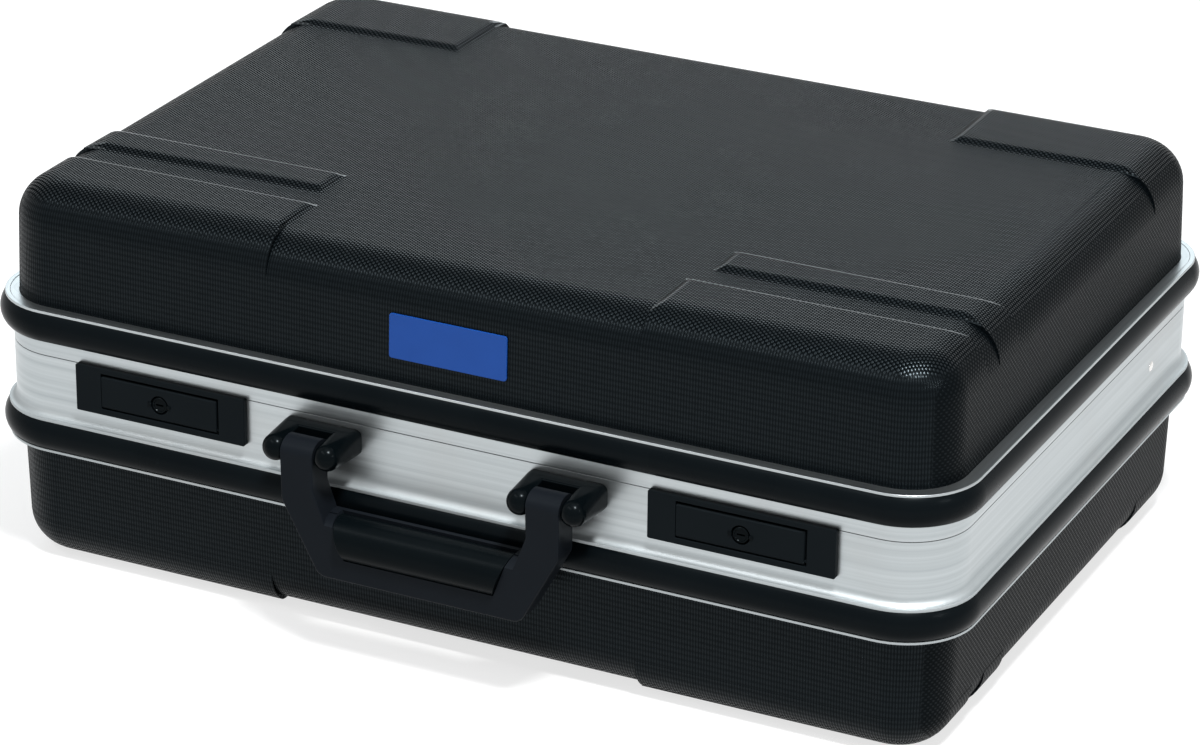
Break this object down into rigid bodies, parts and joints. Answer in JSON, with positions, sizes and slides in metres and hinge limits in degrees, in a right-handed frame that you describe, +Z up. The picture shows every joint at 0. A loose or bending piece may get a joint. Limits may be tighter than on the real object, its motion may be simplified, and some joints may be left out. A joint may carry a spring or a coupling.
{
  "type": "hard tool case",
  "caption": "Hard tool case: two drafted black plastic shells in aluminium frames with round edging, rear hinges, tilting latches with key locks and a drop handle.",
  "frame": {"origin": "centre of the closed case's outline in plan, on the surface it stands on", "axes": "+X along the length, to the right as the latches are faced; +Y from the latches to the hinges; +Z up"},
  "size_m": [0.485, 0.357, 0.1861],
  "materials": {
    "abs_shell": "fine embossed grain, satin",
    "frame_aluminium": "extruded, fine long drawing lines, satin",
    "edging": "smooth, satin",
    "badge": "smooth blue, bare",
    "latch_plastic": "satin",
    "handle_plastic": "satin",
    "grip_plastic": "half gloss",
    "mount_plastic": "glossy",
    "steel": "zinc plated",
    "rivet": "bright"
  },
  "bodies": {
    "base": {"base_shell": "abs_shell", "base_frame": "frame_aluminium", "base_edging": "edging", "base_shell_rivets": "rivet", "base_joiner": "frame_aluminium", "base_joiner_rivets": "rivet", "hinge_base_leaf_left": "steel", "hinge_base_leaf_right": "steel", "hinge_pin_left": "steel", "hinge_pin_right": "steel", "hinge_base_rivets": "rivet", "latch_plate_left": "latch_plastic", "latch_plate_right": "latch_plastic", "latch_rivets": "rivet", "lever_pin_left": "steel", "lever_pin_right": "steel", "hook_pin_left": "steel", "hook_pin_right": "steel", "latch_spring_left": "steel", "latch_spring_right": "steel", "handle_mount_left": "mount_plastic", "handle_mount_right": "mount_plastic", "handle_screws": "steel", "handle_pin_left": "steel", "handle_pin_right": "steel", "stay_rivet_left": "rivet", "stay_rivet_right": "rivet"},
    "lid": {"lid_shell": "abs_shell", "lid_frame": "frame_aluminium", "lid_edging": "edging", "lid_shell_rivets": "rivet", "lid_joiner": "frame_aluminium", "badge_plate": "badge", "hinge_lid_leaf_left": "steel", "hinge_lid_leaf_right": "steel", "hinge_lid_rivets": "rivet", "latch_keeper_left": "steel", "latch_keeper_right": "steel", "stay_stud_left": "rivet", "stay_stud_right": "rivet"},
    "lever_left": {"latch_lever_left": "latch_plastic"},
    "lever_right": {"latch_lever_right": "latch_plastic"},
    "lock_left": {"lock_cylinder_left": "latch_plastic"},
    "lock_right": {"lock_cylinder_right": "latch_plastic"},
    "hook_left": {"latch_hook_left": "steel"},
    "hook_right": {"latch_hook_right": "steel"},
    "handle": {"handle_frame": "handle_plastic", "handle_grip": "grip_plastic"},
    "stay_left": {"stay_arm_left": "steel"},
    "stay_right": {"stay_arm_right": "steel"}
  },
  "joints": [
    {"name": "lid_hinge", "type": "hinge", "parent": "base", "child": "lid", "pos_m": [0, 0.1755, 0.1071], "axis": [-1, 0, 0], "range_deg": [0, 100]},
    {"name": "latch_left", "type": "hinge", "parent": "base", "child": "lever_left", "pos_m": [-0.1442, -0.1514, 0.08975], "axis": [1, 0, 0], "range_deg": [0, 50]},
    {"name": "lock_left", "type": "hinge", "parent": "lever_left", "child": "lock_left", "pos_m": [-0.1442, -0.1515, 0.09595], "axis": [0, 1, 0], "range_deg": [0, 90]},
    {"name": "hook_left", "type": "hinge", "parent": "base", "child": "hook_left", "pos_m": [-0.1642, -0.1457, 0.09735], "axis": [-1, 0, 0], "range_deg": [0, 5.2]},
    {"name": "stay_left", "type": "hinge", "parent": "base", "child": "stay_left", "pos_m": [-0.2249, 0.104, 0.0927], "axis": [-1, 0, 0], "range_deg": [0, 109.17]},
    {"name": "latch_right", "type": "hinge", "parent": "base", "child": "lever_right", "pos_m": [0.1442, -0.1514, 0.08975], "axis": [1, 0, 0], "range_deg": [0, 50]},
    {"name": "lock_right", "type": "hinge", "parent": "lever_right", "child": "lock_right", "pos_m": [0.1442, -0.1515, 0.09595], "axis": [0, 1, 0], "range_deg": [0, 90]},
    {"name": "hook_right", "type": "hinge", "parent": "base", "child": "hook_right", "pos_m": [0.1642, -0.1457, 0.09735], "axis": [-1, 0, 0], "range_deg": [0, 5.2]},
    {"name": "stay_right", "type": "hinge", "parent": "base", "child": "stay_right", "pos_m": [0.2249, 0.104, 0.0927], "axis": [-1, 0, 0], "range_deg": [0, 109.17]},
    {"name": "handle_swing", "type": "hinge", "parent": "base", "child": "handle", "pos_m": [0, -0.1677, 0.0981], "axis": [-1, 0, 0], "range_deg": [0, 100]}
  ],
  "couplings": [
    {"joint": "hook_left", "follows": "latch_left", "ratio": 0.08},
    {"joint": "stay_left", "follows": "lid_hinge", "ratio": 1.0917},
    {"joint": "hook_right", "follows": "latch_right", "ratio": 0.08},
    {"joint": "stay_right", "follows": "lid_hinge", "ratio": 1.0917}
  ]
}
